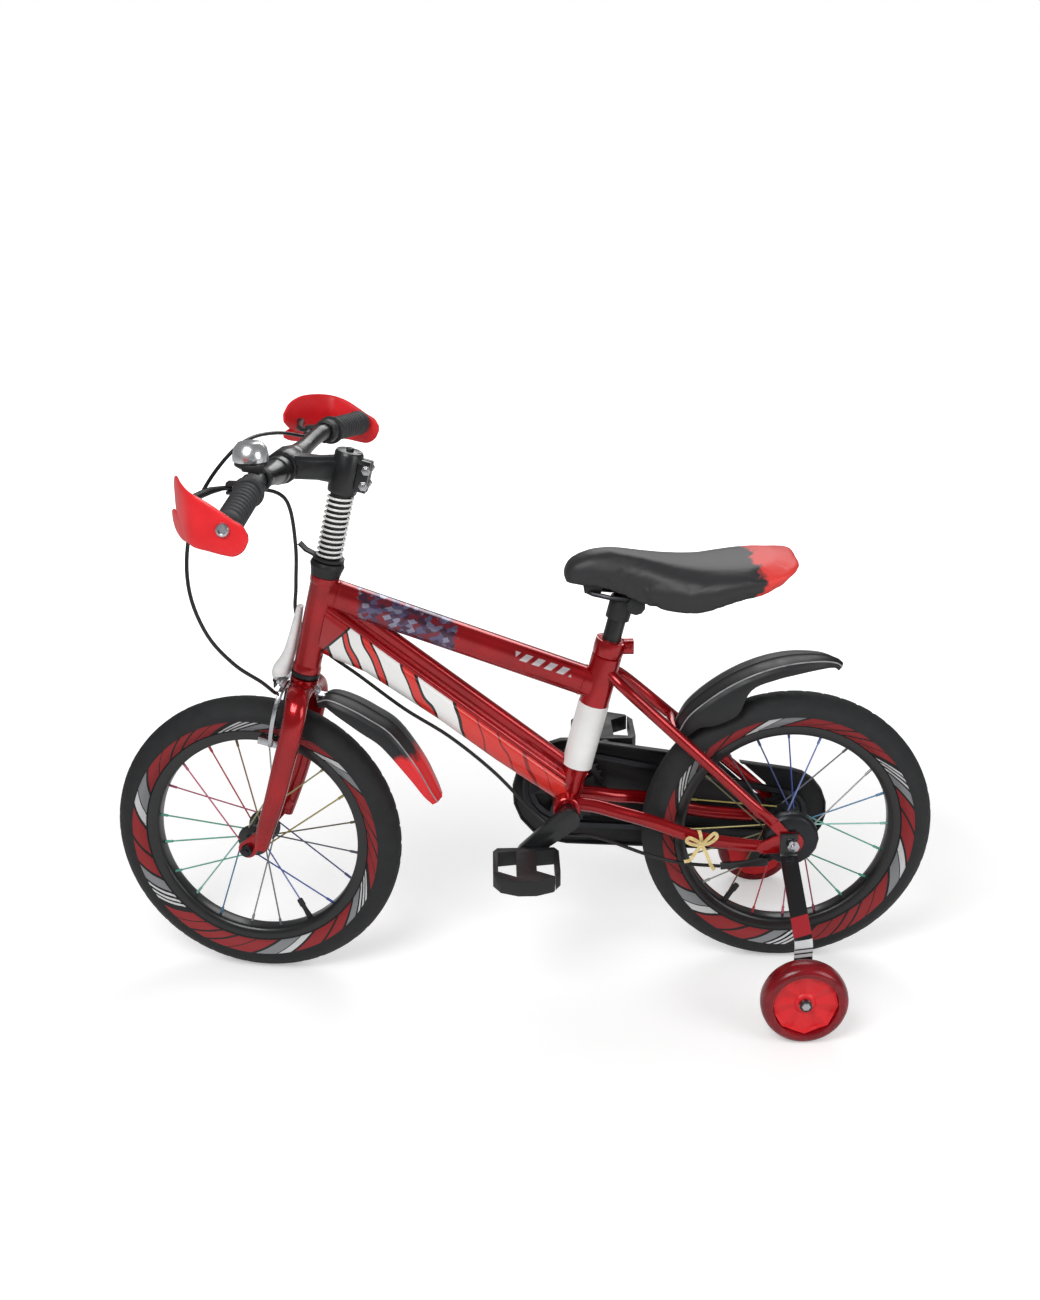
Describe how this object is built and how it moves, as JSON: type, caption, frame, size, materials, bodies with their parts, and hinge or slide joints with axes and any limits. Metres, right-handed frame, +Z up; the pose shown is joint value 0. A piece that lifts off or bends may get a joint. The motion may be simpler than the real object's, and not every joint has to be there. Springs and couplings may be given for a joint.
{
  "type": "kids bmx bike",
  "caption": "Kids' BMX bike with a red and white frame, deep tyres, hand guards, chain case, mudguards, a low padded saddle and side training wheels.",
  "frame": {"origin": "on the ground under the middle of the bike's box", "axes": "+X points the way the bike rides, +Y to the rider's left, +Z up"},
  "size_m": [1.1436, 0.6356, 0.7937],
  "materials": {
    "red_enamel": "candy red enamel",
    "white_enamel": "gloss white enamel",
    "black_enamel": "gloss black enamel",
    "dark_metal": "dark grey paint",
    "black_plastic": "satin",
    "red_plastic": "bright red, gloss",
    "red_wheel_plastic": "deep red, part translucent",
    "grip_rubber": "dark grey ribbed",
    "tyre_rubber": "black with red and pale slashes on the side wall",
    "rim_enamel": "gloss black enamel on the rims",
    "plated_steel": "bright zinc plating",
    "chrome": "polished",
    "saddle_vinyl": "black vinyl with a red tail",
    "white_steel": "white coating"
  },
  "bodies": {
    "frame": {"head_tube": "red_enamel", "top_tube": "red_enamel", "down_tube": "white_enamel", "seat_tube": "red_enamel", "bottom_bracket_shell": "red_enamel", "chain_stay_left": "red_enamel", "chain_stay_right": "red_enamel", "seat_stay_left": "red_enamel", "seat_stay_right": "red_enamel", "seat_stay_bridge": "red_enamel", "seat_clamp": "red_enamel", "headset_lower_cup": "dark_metal", "headset_upper_cup": "black_enamel", "rear_axle": "plated_steel", "chain": "plated_steel", "chain_case": "black_plastic", "band_brake_housing": "plated_steel", "rear_mudguard": "black_plastic", "training_wheel_bracket_left": "dark_metal", "training_wheel_bracket_right": "dark_metal", "rear_brake_cable": "black_plastic"},
    "steering": {"fork": "red_enamel", "stem": "black_enamel", "handlebar": "black_enamel", "steerer_spring": "white_steel", "cable_guide": "black_plastic", "grip_left": "grip_rubber", "grip_right": "grip_rubber", "hand_guard_left": "red_plastic", "hand_guard_right": "red_plastic", "lever_perch_left": "black_plastic", "lever_perch_right": "black_plastic", "bell_base": "black_plastic", "bell_dome": "chrome", "front_axle": "plated_steel", "front_mudguard": "black_plastic", "front_brake_cable": "black_plastic"},
    "front_wheel": {"front_tyre": "tyre_rubber", "front_rim": "rim_enamel", "front_spokes": "plated_steel"},
    "rear_wheel": {"rear_tyre": "tyre_rubber", "rear_rim": "rim_enamel", "rear_spokes": "plated_steel"},
    "crank": {"crankset": "black_enamel", "chainring": "plated_steel"},
    "freewheel": {"freewheel_sprocket": "plated_steel"},
    "pedal_left_body": {"pedal_left": "black_plastic"},
    "pedal_right_body": {"pedal_right": "black_plastic"},
    "training_wheel_left_body": {"training_wheel_left": "red_wheel_plastic"},
    "training_wheel_right_body": {"training_wheel_right": "red_wheel_plastic"},
    "seat": {"seat_post": "black_enamel", "saddle_clamp": "black_enamel", "saddle": "saddle_vinyl", "saddle_rails": "plated_steel"},
    "lever_left": {"brake_lever_left": "black_plastic"},
    "lever_right": {"brake_lever_right": "black_plastic"},
    "brake_arm_left": {"front_brake_arm_left": "plated_steel"},
    "brake_arm_right": {"front_brake_arm_right": "plated_steel"},
    "band_arm": {"band_brake_arm": "black_plastic"},
    "bell_thumb_lever": {"bell_lever": "black_plastic"}
  },
  "joints": [
    {"name": "steering_turn", "type": "hinge", "parent": "frame", "child": "steering", "pos_m": [0.2786, 0.0105, 0.5], "axis": [-0.2314, 0, 0.9729], "range_deg": [-35, 55], "deforming": ["rear_brake_cable"]},
    {"name": "front_wheel_spin", "type": "hinge", "parent": "steering", "child": "front_wheel", "pos_m": [0.36968, 0.00687, 0.20342], "axis": [0.1739, 0.9839, 0.0414], "continuous": true},
    {"name": "rear_wheel_spin", "type": "hinge", "parent": "frame", "child": "rear_wheel", "pos_m": [-0.37, 0.0105, 0.2035], "axis": [0, 1, 0], "continuous": true},
    {"name": "crank_spin", "type": "hinge", "parent": "frame", "child": "crank", "pos_m": [-0.0605, 0.0105, 0.2485], "axis": [0, 1, 0], "continuous": true, "deforming": ["chain"]},
    {"name": "freewheel_spin", "type": "hinge", "parent": "frame", "child": "freewheel", "pos_m": [-0.37, 0.0105, 0.2035], "axis": [0, 1, 0], "continuous": true, "deforming": ["chain"]},
    {"name": "pedal_left_spin", "type": "hinge", "parent": "crank", "child": "pedal_left_body", "pos_m": [-0.00228, 0.1265, 0.19965], "axis": [0, 1, 0], "continuous": true},
    {"name": "pedal_right_spin", "type": "hinge", "parent": "crank", "child": "pedal_right_body", "pos_m": [-0.11872, -0.1115, 0.29735], "axis": [0, 1, 0], "continuous": true},
    {"name": "training_wheel_left_spin", "type": "hinge", "parent": "frame", "child": "training_wheel_left_body", "pos_m": [-0.365, 0.2305, 0.058], "axis": [0, 1, 0], "continuous": true},
    {"name": "training_wheel_right_spin", "type": "hinge", "parent": "frame", "child": "training_wheel_right_body", "pos_m": [-0.365, -0.2095, 0.058], "axis": [0, 1, 0], "continuous": true},
    {"name": "seat_height", "type": "slide", "parent": "frame", "child": "seat", "axis": [-0.2409, 0, 0.9705], "range_m": [-0.03, 0.06]},
    {"name": "lever_left_pull", "type": "hinge", "parent": "steering", "child": "lever_left", "pos_m": [0.34855, 0.16457, 0.74751], "axis": [0.0143, 0.0602, 0.9981], "range_deg": [0, 22], "stiffness_Nm_per_rad": 0.25, "springref_deg": -5.73},
    {"name": "lever_right_pull", "type": "hinge", "parent": "steering", "child": "lever_right", "pos_m": [0.28802, -0.17782, 0.73311], "axis": [-0.0215, -0.1425, 0.9896], "range_deg": [-22, 0], "stiffness_Nm_per_rad": 0.25, "springref_deg": 5.73},
    {"name": "brake_arm_left_close", "type": "hinge", "parent": "steering", "child": "brake_arm_left", "pos_m": [0.31475, 0.0071, 0.42883], "axis": [0.9572, -0.1788, 0.2277], "range_deg": [-1.6, 0]},
    {"name": "brake_arm_right_close", "type": "hinge", "parent": "steering", "child": "brake_arm_right", "pos_m": [0.31475, 0.0071, 0.42883], "axis": [0.9572, -0.1788, 0.2277], "range_deg": [0, 1.6]},
    {"name": "band_arm_pull", "type": "hinge", "parent": "frame", "child": "band_arm", "pos_m": [-0.334, 0.0505, 0.168], "axis": [0, 1, 0], "range_deg": [-12, 0], "deforming": ["rear_brake_cable"]},
    {"name": "bell_ring", "type": "hinge", "parent": "steering", "child": "bell_thumb_lever", "pos_m": [0.33611, 0.13714, 0.7631], "axis": [-0.0036, -0.0414, 0.9991], "range_deg": [0, 18], "stiffness_Nm_per_rad": 0.03, "springref_deg": -5.73}
  ],
  "couplings": [
    {"joint": "freewheel_spin", "follows": "crank_spin", "ratio": 1.75},
    {"joint": "brake_arm_left_close", "follows": "lever_right_pull", "ratio": 0.065},
    {"joint": "brake_arm_right_close", "follows": "lever_right_pull", "ratio": -0.065},
    {"joint": "band_arm_pull", "follows": "lever_left_pull", "ratio": -0.5}
  ]
}
